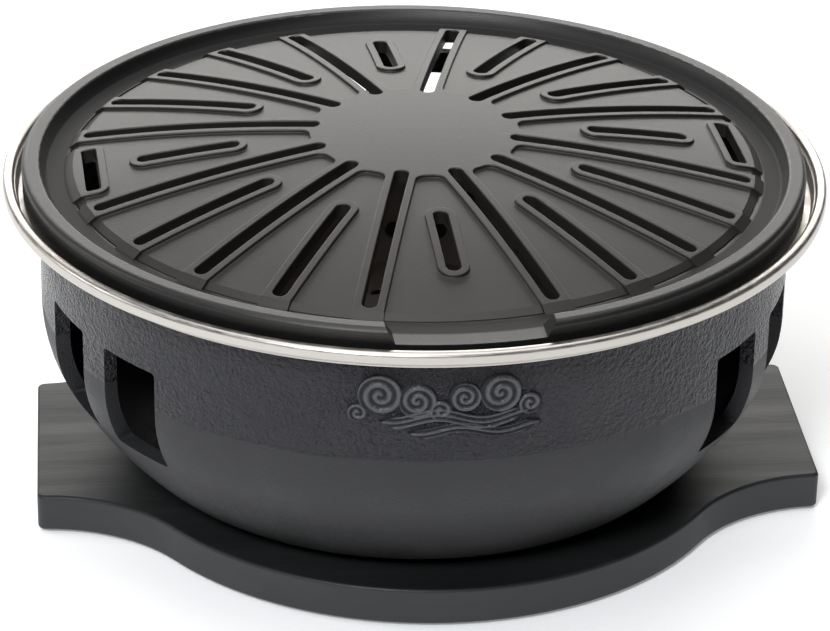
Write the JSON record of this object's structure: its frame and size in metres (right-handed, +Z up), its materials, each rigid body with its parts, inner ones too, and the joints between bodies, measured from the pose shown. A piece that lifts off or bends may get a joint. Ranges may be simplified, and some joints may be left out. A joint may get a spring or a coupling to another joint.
{
  "type": "table-top hibachi grill",
  "caption": "Round table-top charcoal grill: vented cast-iron bowl on an eared wooden board, perforated charcoal basket, steel rim ring and domed slotted grill plate with a drip spout.",
  "frame": {"origin": "on the table, under the middle of the bowl", "axes": "+Z up; -Y to the front, the side with the relief; the board's ears along -X and +X"},
  "size_m": [0.32, 0.32, 0.1493],
  "materials": {
    "stained_wood": "black-stained solid wood, faint open grain, satin",
    "pad_rubber": "matt",
    "screw_steel": "zinc plated",
    "cast_iron": "black cast iron, rough upper band, smoother below",
    "dark_steel": "heat-darkened sheet steel, dull",
    "stainless": "satin stainless steel",
    "nonstick_plate": "cast plate with a dark satin non-stick coating, glossier black on the rim"
  },
  "bodies": {
    "base": {"base_board": "stained_wood", "base_pads": "pad_rubber", "pad_screws": "screw_steel"},
    "stove": {"stove_body": "cast_iron"},
    "tray": {"ash_tray": "dark_steel"},
    "basket": {"charcoal_basket": "dark_steel"},
    "ring": {"rim_ring": "stainless"},
    "plate": {"grill_plate": "nonstick_plate"}
  },
  "joints": [
    {"name": "stove_lift", "type": "slide", "parent": "base", "child": "stove", "axis": [0, 0, 1], "range_m": [0, 0.06]},
    {"name": "tray_lift", "type": "slide", "parent": "stove", "child": "tray", "axis": [0, 0, 1], "range_m": [0, 0.12]},
    {"name": "basket_lift", "type": "slide", "parent": "tray", "child": "basket", "axis": [0, 0, 1], "range_m": [0, 0.1]},
    {"name": "ring_lift", "type": "slide", "parent": "basket", "child": "ring", "axis": [0, 0, 1], "range_m": [0, 0.05]},
    {"name": "plate_lift", "type": "slide", "parent": "ring", "child": "plate", "axis": [0, 0, 1], "range_m": [0, 0.06]}
  ]
}
